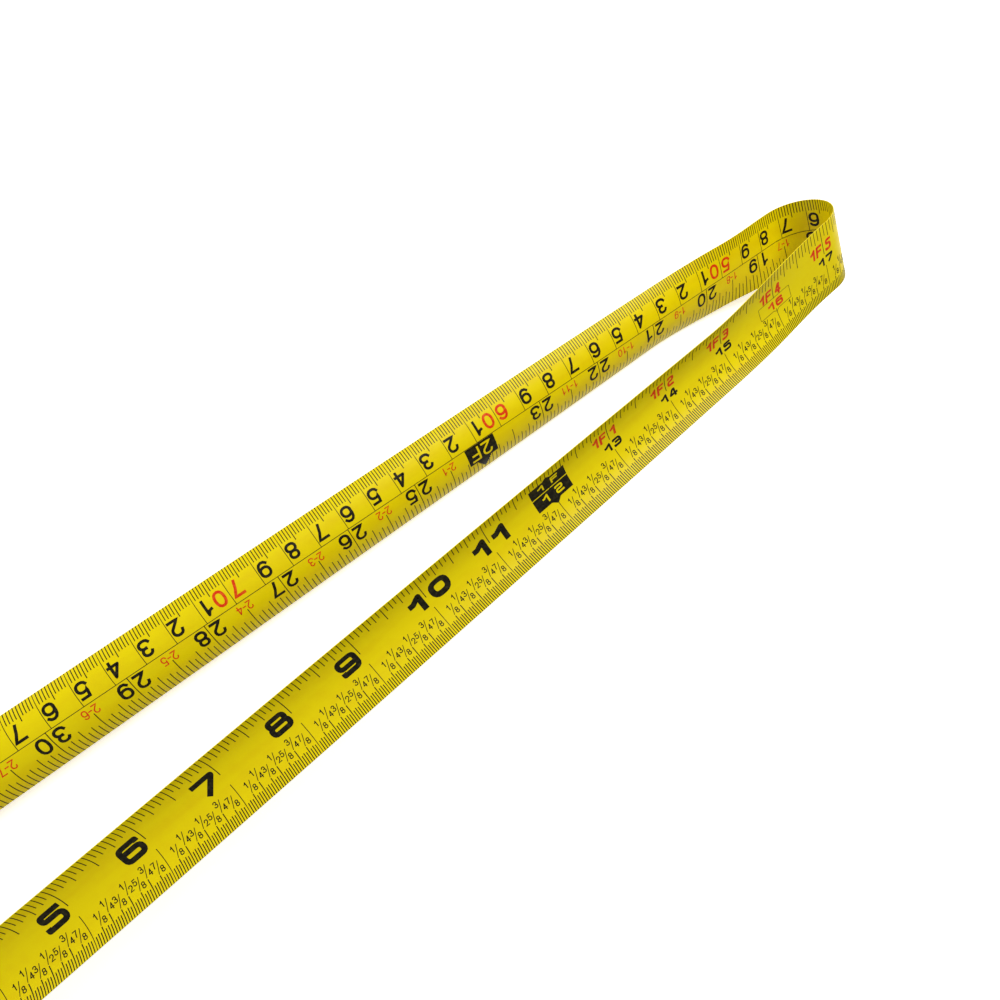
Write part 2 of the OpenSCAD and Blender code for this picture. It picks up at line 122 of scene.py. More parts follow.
def blade_frame(s):
    """Centre, direction across, normal of the hollow's back, and curvature at lengths s.

    Each run is a straight line on which the strip rolls at a steady rate. The fold is half
    a turn of a helix about an axis that lies across the strip, and joins the two runs.
    """
    s = np.asarray(s, float)
    on_hook = s < FOLD_START
    in_fold = (s >= FOLD_START) & (s <= FOLD_END)

    hook_roll = -FOLD_TILT + (HOOK_RUN_ROLL + TWIST_RATE * (FOLD_START - s) + FOLD_TILT) * ease(
        (FOLD_START - s) / SETTLE)
    low_roll = -FOLD_TILT + (CASE_RUN_ROLL + TWIST_RATE * (s - FOLD_END) + FOLD_TILT) * ease(
        (s - FOLD_END) / SETTLE)
    roll_at_stand = CASE_RUN_ROLL + TWIST_RATE * (STAND_START - FOLD_END)
    u = np.clip((s - STAND_START) / (STAND_END - STAND_START), 0, 1)
    standing = (roll_at_stand + (math.pi / 2 - roll_at_stand) * ease(u)
                + TWIST_RATE * (STAND_END - STAND_START) * u * (1 - u) ** 2)
    case_roll = np.where(s < STAND_START, low_roll, standing)
    roll = np.where(on_hook, hook_roll, case_roll)

    to_run = ease(np.where(on_hook, FOLD_START - s, s - FOLD_END) / SETTLE)
    heading = RUN_ANGLE / 2 + (np.where(on_hook, RUN_ANGLE, 0.0) - RUN_ANGLE / 2) * to_run
    sin_h, cos_h, sin_r, cos_r = np.sin(heading), np.cos(heading), np.sin(roll), np.cos(roll)
    across = np.stack([sin_h * cos_r, -cos_h * cos_r, sin_r], -1)
    rise = np.stack([-sin_h * sin_r, cos_h * sin_r, cos_r], -1)
    back = np.where(on_hook[..., None], -rise, rise)

    hook_centre = FOLD_END_POINT + (s - FOLD_START)[..., None] * HOOK_RUN_DIRECTION
    case_centre = np.stack([
        FOLD_START_POINT[0] + FOLD_END - s,
        np.full_like(s, FOLD_START_POINT[1]),
        FOLD_START_POINT[2] + (MOUTH_HEIGHT - FOLD_START_POINT[2]) * ease(u)], -1)
    centre = np.where(on_hook[..., None], hook_centre, case_centre)

    wrap = (math.pi * np.clip((FOLD_END - s) / FOLD_LENGTH, 0, 1))[..., None]
    fold_centre = (FOLD_START_POINT + FOLD_RADIUS * FOLD_UP
                   + FOLD_RADIUS * (np.sin(wrap) * FOLD_OUT - np.cos(wrap) * FOLD_UP)
                   + FOLD_SHIFT * wrap / math.pi * FOLD_ACROSS)
    fold_back = np.cos(wrap) * FOLD_UP - np.sin(wrap) * FOLD_OUT
    in_fold = in_fold[..., None]
    centre = np.where(in_fold, fold_centre, centre)
    across = np.where(in_fold, FOLD_ACROSS, across)
    back = np.where(in_fold, fold_back, back)

    curvature = np.where(on_hook, ease((FOLD_START - s) / FLATTEN), ease((s - FOLD_END) / FLATTEN))
    curvature = curvature * (1 - ease((s - CURVED_END) / (FLAT_START - CURVED_END))) / SECTION_RADIUS
    return centre, across, back, curvature


def blade_surface(s, q, height):
    """Points at length s, q along the section's arc from its middle, and height off the middle
    of the steel towards the back: an arc of the section's curvature, laid in the frame at s."""
    centre, across, back, curvature = blade_frame(s)
    k = np.maximum(curvature, 1e-4)
    angle = k * q
    side = (np.sin(angle) / k + height * np.sin(angle))[..., None]
    drop = ((1 - np.cos(angle)) / k - height * np.cos(angle))[..., None]
    return centre + side * across - drop * back


def new_piece(name, points, faces, material, uv=None, smooth=40):
    """A mesh object from arrays of points and of faces with three or four corners each."""
    mesh = bpy.data.meshes.new(name)
    points = np.asarray(points, np.float32).reshape(-1, 3)
    faces = np.asarray(faces, np.int32)
    mesh.vertices.add(len(points))
    mesh.vertices.foreach_set("co", points.ravel())
    mesh.loops.add(faces.size)
    mesh.loops.foreach_set("vertex_index", faces.ravel())
    mesh.polygons.add(len(faces))
    mesh.polygons.foreach_set("loop_start", np.arange(0, faces.size, faces.shape[1], dtype=np.int32))
    mesh.update(calc_edges=True)
    mesh.polygons.foreach_set("use_smooth", np.ones(len(faces), bool))
    mesh.set_sharp_from_angle(angle=math.radians(smooth))
    if uv is not None:
        layer = mesh.uv_layers.new(name="along_across")
        layer.data.foreach_set("uv", np.asarray(uv, np.float32)[faces.ravel()].ravel())
    mesh.materials.append(material)
    piece = bpy.data.objects.new(name, mesh)
    bpy.context.collection.objects.link(piece)
    return piece


def ring_faces(rings, around):
    """Faces of a closed tube of `rings` rings with `around` points each, and its two caps.

    A ring is a strip's section: its first half runs along one face, its second half back
    along the other, so a cap is a ladder of four-cornered faces between the halves.
    """
    i = np.arange(rings - 1)[:, None] * around
    j = np.arange(around)[None, :]
    after = (j + 1) % around
    sides = np.stack([i + j, i + after, i + around + after, i + around + j], -1).reshape(-1, 4)
    r = np.arange(around // 2 - 1)
    ladder = np.stack([r, around - 1 - r, around - 2 - r, r + 1], -1)
    return np.concatenate([sides, ladder, ladder[:, ::-1] + (rings - 1) * around])


def blade_strip(name, lengths, material, across_count=32):
    """The blade between two lengths, as a closed strip with both faces and its edges."""
    q = np.linspace(-0.5, 0.5, across_count + 1) * BLADE_WIDTH
    section_q = np.concatenate([q, q[::-1]])
    section_h = np.repeat([0.5, -0.5], across_count + 1) * BLADE_THICKNESS
    s, q_all = np.meshgrid(lengths, section_q, indexing="ij")
    height = np.broadcast_to(section_h, s.shape)
    points = blade_surface(s, q_all, height)
    faces = ring_faces(len(lengths), len(section_q))
    uv = np.stack([s.ravel(), q_all.ravel()], -1)
    return new_piece(name, points, faces[:, ::-1], material, uv)


def fine_grain_group():
    """Shared effect: speckle and long fine scratches, as a mask and a height.

    Two noises are mixed, one even and one stretched along the first axis. The mask is their
    mix pushed towards 0 and 1, and the height is the mix as it is."""
    group = bpy.data.node_groups.new("fine_grain", "ShaderNodeTree")
    for name, kind, value in (("Vector", "NodeSocketVector", None),
                              ("Scale", "NodeSocketFloat", 400.0),
                              ("Stretch", "NodeSocketFloat", 12.0),
                              ("Scratch Share", "NodeSocketFloat", 0.5)):
        socket = group.interface.new_socket(name, in_out="INPUT", socket_type=kind)
        if value is not None:
            socket.default_value = value
    for name in ("Mask", "Height"):
        group.interface.new_socket(name, in_out="OUTPUT", socket_type="NodeSocketFloat")
    nodes, links = group.nodes, group.links
    source, result = nodes.new("NodeGroupInput"), nodes.new("NodeGroupOutput")
    squeeze = nodes.new("ShaderNodeCombineXYZ")
    squeeze.inputs["Y"].default_value = 1
    squeeze.inputs["Z"].default_value = 1
    invert = nodes.new("ShaderNodeMath")
    invert.operation = "DIVIDE"
    invert.inputs[0].default_value = 1
    links.new(source.outputs["Stretch"], invert.inputs[1])
    links.new(invert.outputs[0], squeeze.inputs["X"])
    stretched = nodes.new("ShaderNodeVectorMath")
    stretched.operation = "MULTIPLY"
    links.new(source.outputs["Vector"], stretched.inputs[0])
    links.new(squeeze.outputs[0], stretched.inputs[1])
    even, scratch = nodes.new("ShaderNodeTexNoise"), nodes.new("ShaderNodeTexNoise")
    even.inputs["Detail"].default_value = 3
    scratch.inputs["Detail"].default_value = 2
    links.new(source.outputs["Vector"], even.inputs["Vector"])
    links.new(stretched.outputs[0], scratch.inputs["Vector"])
    links.new(source.outputs["Scale"], even.inputs["Scale"])
    links.new(source.outputs["Scale"], scratch.inputs["Scale"])
    mix = nodes.new("ShaderNodeMix")
    links.new(source.outputs["Scratch Share"], mix.inputs["Factor"])
    links.new(even.outputs["Fac"], mix.inputs["A"])
    links.new(scratch.outputs["Fac"], mix.inputs["B"])
    push = nodes.new("ShaderNodeMapRange")
    push.inputs["From Min"].default_value = 0.45
    push.inputs["From Max"].default_value = 0.75
    links.new(mix.outputs["Result"], push.inputs["Value"])
    links.new(push.outputs["Result"], result.inputs["Mask"])
    links.new(mix.outputs["Result"], result.inputs["Height"])
    return group


FINE_GRAIN = fine_grain_group()


def finish_material(name, colour, worn, roughness, rough_worn, bump, scale=400.0, stretch=1.0,
                    scratch_share=0.0, metallic=0.0, specular=0.5, by_uv=False, turn=(0, 0, 0)):
    """A material whose colour and roughness go from fresh to worn by the grain's mask, with the
    grain's height as bump. The pattern is on object coordinates, or on the piece's own map."""
    material = bpy.data.materials.new(name)
    material.use_nodes = True
    nodes, links = material.node_tree.nodes, material.node_tree.links
    shader = nodes["Principled BSDF"]
    shader.inputs["Metallic"].default_value = metallic
    shader.inputs["Specular IOR Level"].default_value = specular
    where = nodes.new("ShaderNodeTexCoord")
    mapping = nodes.new("ShaderNodeMapping")
    mapping.inputs["Rotation"].default_value = turn
    links.new(where.outputs["UV" if by_uv else "Object"], mapping.inputs["Vector"])
    grain = nodes.new("ShaderNodeGroup")
    grain.node_tree = FINE_GRAIN
    grain.inputs["Scale"].default_value = scale
    grain.inputs["Stretch"].default_value = stretch
    grain.inputs["Scratch Share"].default_value = scratch_share
    links.new(mapping.outputs[0], grain.inputs["Vector"])
    tint = nodes.new("ShaderNodeMix")
    tint.data_type = "RGBA"
    tint.inputs["A"].default_value = (*colour, 1)
    tint.inputs["B"].default_value = (*worn, 1)
    links.new(grain.outputs["Mask"], tint.inputs["Factor"])
    links.new(tint.outputs["Result"], shader.inputs["Base Color"])
    rough = nodes.new("ShaderNodeMapRange")
    rough.inputs["To Min"].default_value = roughness
    rough.inputs["To Max"].default_value = rough_worn
    links.new(grain.outputs["Mask"], rough.inputs["Value"])
    links.new(rough.outputs["Result"], shader.inputs["Roughness"])
    relief = nodes.new("ShaderNodeBump")
    relief.inputs["Strength"].default_value = 0.5
    relief.inputs["Distance"].default_value = bump
    links.new(grain.outputs["Height"], relief.inputs["Height"])
    links.new(relief.outputs["Normal"], shader.inputs["Normal"])
    return material


YELLOW = (0.72, 0.58, 0.0)
YELLOW_DEEP = (0.68, 0.505, 0.0)
blade_paint = finish_material("blade_paint", YELLOW, YELLOW_DEEP, 0.38, 0.48, 0.00002, scale=260,
                              stretch=14, scratch_share=0.6, specular=0.12, by_uv=True)

fold_lengths = np.concatenate([np.arange(0, FOLD_START - 1 * MM, 2.5 * MM),
                               np.linspace(FOLD_START, FOLD_END, 49)])
case_lengths = np.concatenate([np.linspace(FOLD_END, CURVED_END, 230),
                               np.linspace(CURVED_END, BLADE_END, 16)[1:]])
blade_folded = blade_strip("blade_folded", fold_lengths, blade_paint)
blade_drawn = blade_strip("blade_drawn", case_lengths, blade_paint)
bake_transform(blade_folded)
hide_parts("blade_fold", "blade_hook_run")
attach(blade_drawn, "blade")
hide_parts("blade_case_run")


# Print: scales, figures and block marks in black and red ink on both faces. Each mark is a
# closed film that stands 0.02 mm off the paint and follows the blade's surface. The front,
# in the hollow, reads in inches; the back reads in centimetres along one edge and in feet
# and inches along the other.
INK_HEIGHT = 0.02 * MM
INK_SINK = 0.01 * MM
OVERPRINT = 0.035 * MM
STEP = 1.1 * MM


class Face:
    """One face of the blade: its side of the steel, and which way its figures stand."""

    def __init__(self, side, upward):
        self.side = side
        self.upward = upward


FRONT = Face(side=-1, upward=-1)
BACK = Face(side=1, upward=1)


class Print:
    """Collects films of one ink, as points in length, arc and height, with their faces."""

    def __init__(self):
        self.points, self.faces, self.count = [], [], 0

    def add(self, points, faces):
        self.points.append(points)
        self.faces.append(faces + self.count)
        self.count += len(points)


def film_heights(face, lift):
    """Heights of a film's underside and top, counted from the middle of the steel."""
    surface = BLADE_THICKNESS / 2
    return face.side * (surface - INK_SINK), face.side * (surface + lift)


def print_ribbon(ink, face, line, width, closed=False, lift=INK_HEIGHT):
    """A film of even width along a line of (length, arc) points: each point is moved half the
    width to both sides, at right angles to the mean of the two directions that meet there."""
    line = np.asarray(line, float)
    if closed:
        before, after = np.roll(line, 1, 0), np.roll(line, -1, 0)
    else:
        before = np.concatenate([[2 * line[0] - line[1]], line[:-1]])
        after = np.concatenate([line[1:], [2 * line[-1] - line[-2]]])
    d0, d1 = line - before, after - line
    d0 /= np.linalg.norm(d0, axis=1)[:, None]
    d1 /= np.linalg.norm(d1, axis=1)[:, None]
    mean = d0 + d1
    mean /= np.maximum(np.linalg.norm(mean, axis=1), 1e-9)[:, None]
    normal = np.stack([-mean[:, 1], mean[:, 0]], -1)
    reach = np.minimum(1 / np.maximum((mean * d0).sum(1), 0.1), 1.6)
    offset = normal * (width / 2 * reach)[:, None]
    low, high = film_heights(face, lift)
    n = len(line)
    points = np.zeros((n, 4, 3))
    points[:, 0, :2] = points[:, 1, :2] = line + offset
    points[:, 2, :2] = points[:, 3, :2] = line - offset
    points[:, [0, 3], 2] = low
    points[:, [1, 2], 2] = high
    rings = n + 1 if closed else n
    i = np.arange(rings - 1)[:, None] * 4
    j = np.arange(4)[None, :]
    faces = np.stack([i + j, i + (j + 1) % 4, i + 4 + (j + 1) % 4, i + 4 + j], -1).reshape(-1, 4)
    if closed:
        faces %= 4 * n
    else:
        faces = np.concatenate([faces, [[3, 2, 1, 0]], [[4 * n - 4, 4 * n - 3, 4 * n - 2, 4 * n - 1]]])
    ink.add(points.reshape(-1, 3), faces if face.side > 0 else faces[:, ::-1])


def print_ticks(ink, face, places, q0, q1, width):
    """Ticks of one length at many places: all their rings at once, in equal steps from q0 to q1."""
    places = np.asarray(places, float)
    if not len(places):
        return
    steps = max(1, int(abs(q1 - q0) / STEP))
    q = np.linspace(q0, q1, steps + 1)
    low, high = film_heights(face, INK_HEIGHT)
    half = width / 2 if q1 > q0 else -width / 2
    ring_s = np.array([-half, -half, half, half])
    ring_h = np.array([low, high, high, low])
    points = np.zeros((len(places), steps + 1, 4, 3))
    points[..., 0] = places[:, None, None] + ring_s
    points[..., 1] = q[None, :, None]
    points[..., 2] = ring_h
    i = np.arange(steps)[:, None] * 4
    j = np.arange(4)[None, :]
    one = np.stack([i + j, i + (j + 1) % 4, i + 4 + (j + 1) % 4, i + 4 + j], -1).reshape(-1, 4)
    last = steps * 4
    one = np.concatenate([one, [[3, 2, 1, 0]], [[last, last + 1, last + 2, last + 3]]])
    faces = (np.arange(len(places))[:, None, None] * 4 * (steps + 1) + one).reshape(-1, 4)
    ink.add(points.reshape(-1, 3), faces if face.side > 0 else faces[:, ::-1])


def rounded_line(corners, radius, closed):
    """The line through the corners, with each corner cut back and bridged by a curve whose
    middle is pulled towards it, and with long stretches cut into short steps."""
    corners = np.asarray(corners, float)
    n = len(corners)
    line = []
    for i in range(n):
        here = corners[i]
        if radius == 0 or (not closed and i in (0, n - 1)):
            line.append(here[None])
            continue
        a, b = corners[i - 1] - here, corners[(i + 1) % n] - here
        la, lb = np.linalg.norm(a), np.linalg.norm(b)
        cut = min(radius, 0.48 * la, 0.48 * lb)
        p0, p1 = here + a / la * cut, here + b / lb * cut
        t = np.linspace(0, 1, 5)[:, None]
        line.append((1 - t) ** 2 * p0 + 2 * t * (1 - t) * here + t * t * p1)
    line = np.concatenate(line)
    ends = np.roll(line, -1, 0) if closed else line[1:]
    starts = line if closed else line[:-1]
    pieces = []
    for a, b in zip(starts, ends):
        steps = max(1, int(np.ceil(np.linalg.norm(b - a) / STEP)))
        pieces.append(a + (b - a) * np.arange(steps)[:, None] / steps)
    if not closed:
        pieces.append(line[-1:])
    line = np.concatenate(pieces)
    keep = np.ones(len(line), bool)
    keep[1:] = np.linalg.norm(np.diff(line, axis=0), axis=1) > 1e-7
    return line[keep]


def bowl(x, y, half_width, half_height, start, end):
    """An arc about (x, y), from one angle to another in degrees: a superellipse of power 2.3,
    a little squarer than an ellipse, so x is half the width times cos to the power 2 / 2.3."""
    angle = np.radians(np.linspace(start, end, max(5, int(abs(end - start) / 24) + 1)))
    cos, sin = np.cos(angle), np.sin(angle)
    power = 2 / 2.3
    return [(x + half_width * np.sign(a) * abs(a) ** power,
             y + half_height * np.sign(b) * abs(b) ** power) for a, b in zip(cos, sin)]


# Figures are lines of a broad pen in a square from 0 to 1, each with whether it is closed and
# the share of the figure's size by which its corners are rounded. The wide ones are square
# with round corners, and the round ones have bowls.
WIDE = {
    "0": [(True, 0.34, [(0, 0), (1, 0), (1, 1), (0, 1)])],
    "1": [(False, 0.02, [(0.0, 0.66), (0.14, 0.66), (0.7, 1), (0.7, 0)])],
    "2": [(False, 0.3, [(0, 0.9), (0, 1), (1, 1), (1, 0.52), (0, 0.46), (0, 0), (1, 0)])],
    "3": [(False, 0.3, [(0, 0.95), (0, 1), (1, 1), (1, 0), (0, 0), (0, 0.05)]),
          (False, 0, [(0.3, 0.52), (1, 0.52)])],
    "4": [(False, 0.04, [(0.74, 0), (0.74, 1), (0.5, 1), (0, 0.26), (1, 0.26)])],
    "5": [(False, 0.3, [(0.95, 1), (0.05, 1), (0.05, 0.6), (1, 0.6), (1, 0), (0, 0), (0, 0.05)])],
    "6": [(False, 0.22, [(0.96, 0.95), (0.96, 1), (0, 1), (0, 0), (1, 0), (1, 0.58), (0.05, 0.58)])],
    "7": [(False, 0.04, [(0, 1), (1, 1), (1, 0.9), (0.36, 0)])],
    "8": [(True, 0.18, [(0, 0), (1, 0), (1, 0.52), (0, 0.52)]),
          (True, 0.18, [(0.05, 0.52), (0.95, 0.52), (0.95, 1), (0.05, 1)])],
    "9": [(False, 0.22, [(0.04, 0.05), (0.04, 0), (1, 0), (1, 1), (0, 1), (0, 0.42), (0.95, 0.42)])],
    "F": [(False, 0.02, [(0, 0), (0, 1), (1, 1)]), (False, 0, [(0, 0.5), (0.85, 0.5)])],
}
SIX = [(True, 0, bowl(0.5, 0.32, 0.5, 0.32, 0, 336)), (False, 0, bowl(0.54, 0.5, 0.54, 0.5, 42, 200))]
ROUND = {
    "0": [(True, 0, bowl(0.5, 0.5, 0.5, 0.5, 0, 340))],
    "1": [(False, 0.01, [(0.1, 0.72), (0.34, 0.76), (0.58, 1), (0.58, 0)])],
    "2": [(False, 0, bowl(0.5, 0.71, 0.48, 0.29, 176, -38) + [(0.0, 0.0), (1.0, 0.0)])],
    "3": [(False, 0, bowl(0.48, 0.75, 0.44, 0.25, 165, -92)),
          (False, 0, bowl(0.48, 0.26, 0.52, 0.26, 92, -165))],
    "4": [(False, 0.01, [(0.74, 0), (0.74, 1), (0, 0.28), (1, 0.28)])],
    "5": [(False, 0, [(0.94, 1), (0.2, 1), (0.08, 0.46)] + bowl(0.48, 0.32, 0.52, 0.32, 132, -160))],
    "6": SIX,
    "7": [(False, 0, [(0, 1), (1, 1), (0.58, 0.48), (0.36, 0)])],
    "8": [(True, 0, bowl(0.5, 0.76, 0.43, 0.24, 0, 336)), (True, 0, bowl(0.5, 0.26, 0.5, 0.26, 0, 336))],
    "9": [(closed, cut, [(1 - x, 1 - y) for x, y in line]) for closed, cut, line in SIX],
    "F": [(False, 0.01, [(0, 0), (0, 1), (0.95, 1)]), (False, 0, [(0, 0.52), (0.8, 0.52)])],
    "-": [(False, 0, [(0, 0.4), (1, 0.4)])],
}


def print_figure(ink, face, figure, left, q_foot, width, height, pen, lift=INK_HEIGHT, lean=0.0,
                 style=WIDE):
    """One figure, its left side at length `left` and its foot at arc q_foot, drawn with `pen`.

    The pen is square: an open line runs on by half its width at both ends."""
    for closed, cut, corners in style[figure]:
        corners = np.asarray(corners, float)
        x = pen / 2 + corners[:, 0] * (width - pen) + lean * corners[:, 1] * height
        y = pen / 2 + corners[:, 1] * (height - pen)
        line = rounded_line(np.stack([x, y], -1), cut * min(width, height), closed)
        if not closed:
            start, end = line[0] - line[1], line[-1] - line[-2]
            line[0] += start / np.linalg.norm(start) * pen / 2
            line[-1] += end / np.linalg.norm(end) * pen / 2
        line = np.stack([left + line[:, 0], q_foot + face.upward * line[:, 1]], -1)
        print_ribbon(ink, face, line, pen, closed, lift)


def print_number(ink, face, text, left, q_foot, width, height, pen, gap, **more):
    """Figures side by side from `left`; a dash is two thirds as wide as a figure."""
    for figure in text:
        wide = width * (0.66 if figure == "-" else 1)
        print_figure(ink, face, figure, left, q_foot, wide, height, pen, **more)
        left += wide + gap


def print_block(ink, face, s0, s1, q0, q1, lift=INK_HEIGHT):
    """A filled block, as films side by side with a hair of overlap."""
    count = max(1, int(math.ceil(abs(q1 - q0) / STEP)))
    wide = abs(q1 - q0) / count
    for i in range(count):
        q = min(q0, q1) + wide * (i + 0.5)
        s = np.linspace(s0, s1, 8)
        print_ribbon(ink, face, np.stack([s, np.full(8, q)], -1), wide * 1.02, lift=lift)


def print_pointer(ink, face, s_middle, q_base, q_tip, half):
    """A triangle that points across the blade: films that get shorter towards the tip."""
    rows = 6
    for i in range(rows):
        u = (i + 0.5) / rows
        q = q_base + (q_tip - q_base) * u
        reach = half * (1 - u)
        line = [[s_middle - reach, q], [s_middle, q], [s_middle + reach, q]]
        print_ribbon(ink, face, line, abs(q_tip - q_base) / rows * 1.04)


def across(share):
    """Arc position for a share of the blade's width, counted from the edge that carries the
    front's sixteenths and the back's millimetres."""
    return (share - 0.5) * BLADE_WIDTH


def tick_levels(sixteenths):
    """0 for whole inches, then 1 to 4 for halves, quarters, eighths and sixteenths."""
    steps = (16, 8, 4, 2, 1)
    return np.array([next(level for level, step in enumerate(steps) if n % step == 0)
                     for n in sixteenths])


def label_width(text, width, gap):
    """Length of a printed number."""
    return sum(width * (0.66 if c == "-" else 1) for c in text) + gap * (len(text) - 1)


PRINT_END = BLADE_END - 4 * MM
LAST_INCH = int(PRINT_END / INCH)


def print_front(black, red, yellow):
    """The front face: sixteenths along one edge, thirty-seconds with their fractions along the
    other, and the inches in between."""
    sixteenths = np.arange(1, int(PRINT_END / INCH * 16))
    order = tick_levels(sixteenths)
    clear_of_hook = sixteenths * INCH / 16 > 18 * MM
    for level, reach in enumerate((0.395, 0.27, 0.222, 0.185, 0.155)):
        places = sixteenths[(order == level) & clear_of_hook] * INCH / 16
        print_ticks(black, FRONT, places, across(0.0), across(reach), 0.25 * MM)
    inches = np.arange(1, LAST_INCH + 1) * INCH
    print_ticks(black, FRONT, inches, across(0.56), across(1.0), 0.2 * MM)
    seconds = np.arange(24, int(PRINT_END / INCH * 32))
    for step, start in ((8, 0.755), (4, 0.815), (2, 0.85), (1, 0.862)):
        mine = (seconds % step == 0) & (seconds % 32 != 0) & ((seconds % (2 * step) != 0) | (step == 8))
        print_ticks(black, FRONT, seconds[mine] * INCH / 32, across(start), across(1.0), 0.28 * MM)
    for inch in range(1, LAST_INCH + 1):
        for eighth in range(1, 8):
            top, bottom = (eighth, 8)
            while top % 2 == 0:
                top, bottom = top // 2, bottom // 2
            middle = (inch - 1 + eighth / 8) * INCH + 0.7 * MM
            if middle < 20 * MM:
                continue
            foot = across(0.75 if eighth % 2 == 0 else 0.81)
            size = dict(width=1.2 * MM, height=1.95 * MM, pen=0.28 * MM, style=ROUND)
            print_figure(black, FRONT, str(top), middle - 1.4 * MM, foot - 2.15 * MM, **size)
            print_figure(black, FRONT, str(bottom), middle + 0.3 * MM, foot, **size)
            print_ribbon(black, FRONT, [[middle - 0.7 * MM, foot - 0.2 * MM], [middle, foot - 2.0 * MM],
                                        [middle + 0.7 * MM, foot - 3.8 * MM]], 0.2 * MM)
        number = str(inch)
        line = inch * INCH
        if inch % 12 == 0:
            print_block(black, FRONT, line - 7.2 * MM, line + 7.2 * MM, across(0.182), across(0.345))
            print_block(black, FRONT, line - 7.2 * MM, line + 7.2 * MM, across(0.360), across(0.548))
            print_pointer(black, FRONT, line, across(0.546), across(0.605), 1.9 * MM)
            print_pointer(black, FRONT, line, across(0.184), across(0.142), 1.6 * MM)
            foot = str(inch // 12) + "F"
            for text, q_foot, tall in ((foot, 0.312, 2.4 * MM), (number, 0.506, 2.9 * MM)):
                for i, figure in enumerate(text):
                    left = line + (-4.0 * MM if i == 0 else 1.3 * MM)
                    print_figure(yellow, FRONT, figure, left, across(q_foot), 3 * MM, tall,
                                 0.62 * MM, OVERPRINT)
        elif inch < 10:
            print_figure(black, FRONT, number, line - 8.3 * MM, across(0.52), 7.4 * MM, 6.5 * MM,
                         1.65 * MM)
        elif inch < 12:
            print_figure(black, FRONT, number[0], line - 6.2 * MM, across(0.52), 6.6 * MM, 6.5 * MM,
                         1.95 * MM)
            print_figure(black, FRONT, number[1], line + 1.5 * MM, across(0.52),
                         (6.6 if number[1] == "1" else 7.4) * MM, 6.5 * MM, 1.95 * MM)
        else:
            small = dict(height=4.0 * MM, pen=0.88 * MM, lean=0.08)
            print_number(red, FRONT, str(inch // 12) + "F", line - 6.5 * MM, across(0.375),
                         2.75 * MM, gap=0.1 * MM, **small)
            print_number(red, FRONT, str(inch % 12), line + 0.9 * MM, across(0.375),
                         (2.8 if inch % 12 < 10 else 2.4) * MM, gap=0.2 * MM, **small)
            stud = inch % 16 == 0
            print_number(red if stud else black, FRONT, number, line - 3.2 * MM, across(0.545), 3.4 * MM,
                         3.0 * MM, 0.78 * MM, 0.2 * MM)
            if stud:
                q0, q1 = across(0.385), across(0.57)
                left, right = line - 7.4 * MM, line + 7.4 * MM
                box = [[left, q0], [right, q0], [right, q1], [line + 1.2 * MM, q1],
                       [line, across(0.60)], [line - 1.2 * MM, q1], [left, q1]]
                print_ribbon(black, FRONT, rounded_line(box, 0.3 * MM, True), 0.15 * MM, True)


def print_back(black, red, yellow):
    """The back face: millimetres and centimetres to the middle line, and inches with feet and
    inches from the other edge."""
    middle_line = 0.468
    millimetres = np.arange(20, int(PRINT_END / MM))
    fives, tens = millimetres % 5 == 0, millimetres % 10 == 0
    print_ticks(black, BACK, millimetres[~fives] * MM, across(0.0), across(0.162), 0.28 * MM)
    print_ticks(black, BACK, millimetres[fives & ~tens] * MM, across(0.0), across(0.215), 0.28 * MM)
    print_ticks(black, BACK, millimetres[tens] * MM, across(0.0), across(middle_line), 0.2 * MM)
    s = np.arange(20 * MM, PRINT_END, 3 * MM)
    print_ribbon(black, BACK, np.stack([s, np.full(len(s), across(middle_line))], -1), 0.2 * MM)
    size = dict(width=3.8 * MM, height=5.4 * MM, pen=0.88 * MM, style=ROUND)
    for cm in range(3, int(PRINT_END / (10 * MM))):
        line = cm * 10 * MM
        q_foot = across(0.196)
        if cm % 10:
            print_figure(black, BACK, str(cm % 10), line - 4.2 * MM, q_foot, **size)
        else:
            text = str(cm)
            left = line + 1.1 * MM - 5.5 * MM * (len(text) - 1)
            for i, figure in enumerate(text):
                print_figure(red, BACK, figure, left + 5.5 * MM * i, q_foot, **size)
    sixteenths = np.arange(16, int(PRINT_END / INCH * 16))
    order = tick_levels(sixteenths)
    for level, start in enumerate((middle_line, 0.60, 0.68, 0.735, 0.775)):
        places = sixteenths[order == level] * INCH / 16
        print_ticks(black, BACK, places, across(start), across(1.0), 0.26 * MM)
    for inch in range(1, LAST_INCH + 1):
        line = inch * INCH
        if inch % 12 == 0:
            print_block(black, BACK, line - 5.75 * MM, line + 5.75 * MM, across(0.475), across(0.75))
            print_pointer(black, BACK, line, across(0.748), across(0.925), 2.9 * MM)
            for i, figure in enumerate(str(inch // 12) + "F"):
                left = line + (-4.0 * MM if i == 0 else 0.8 * MM)
                print_figure(yellow, BACK, figure, left, across(0.508), 3.8 * MM, 5.3 * MM, 0.72 * MM,
                             OVERPRINT, style=ROUND)
        else:
            text = str(inch)
            print_figure(black, BACK, text[0], line - 4.7 * MM, across(0.49), **size)
            if len(text) > 1:
                print_figure(black, BACK, text[1], line + 0.7 * MM, across(0.49), **size)
        if inch >= 12 and (inch + 1) % 12:
            text = f"{(inch + 1) // 12}-{(inch + 1) % 12}"
            small = dict(width=1.75 * MM, gap=0.2 * MM)
            left = line + INCH / 2 + 0.3 * MM - label_width(text, **small) / 2
            print_number(red, BACK, text, left, across(0.503), height=3.0 * MM, pen=0.36 * MM,
                         style=ROUND, **small)


def ink_material(name, colour, worn):
    """Printing ink: almost even, with small worn specks."""
    return finish_material(name, colour, worn, 0.36, 0.5, 0.000005, scale=900, specular=0.12)


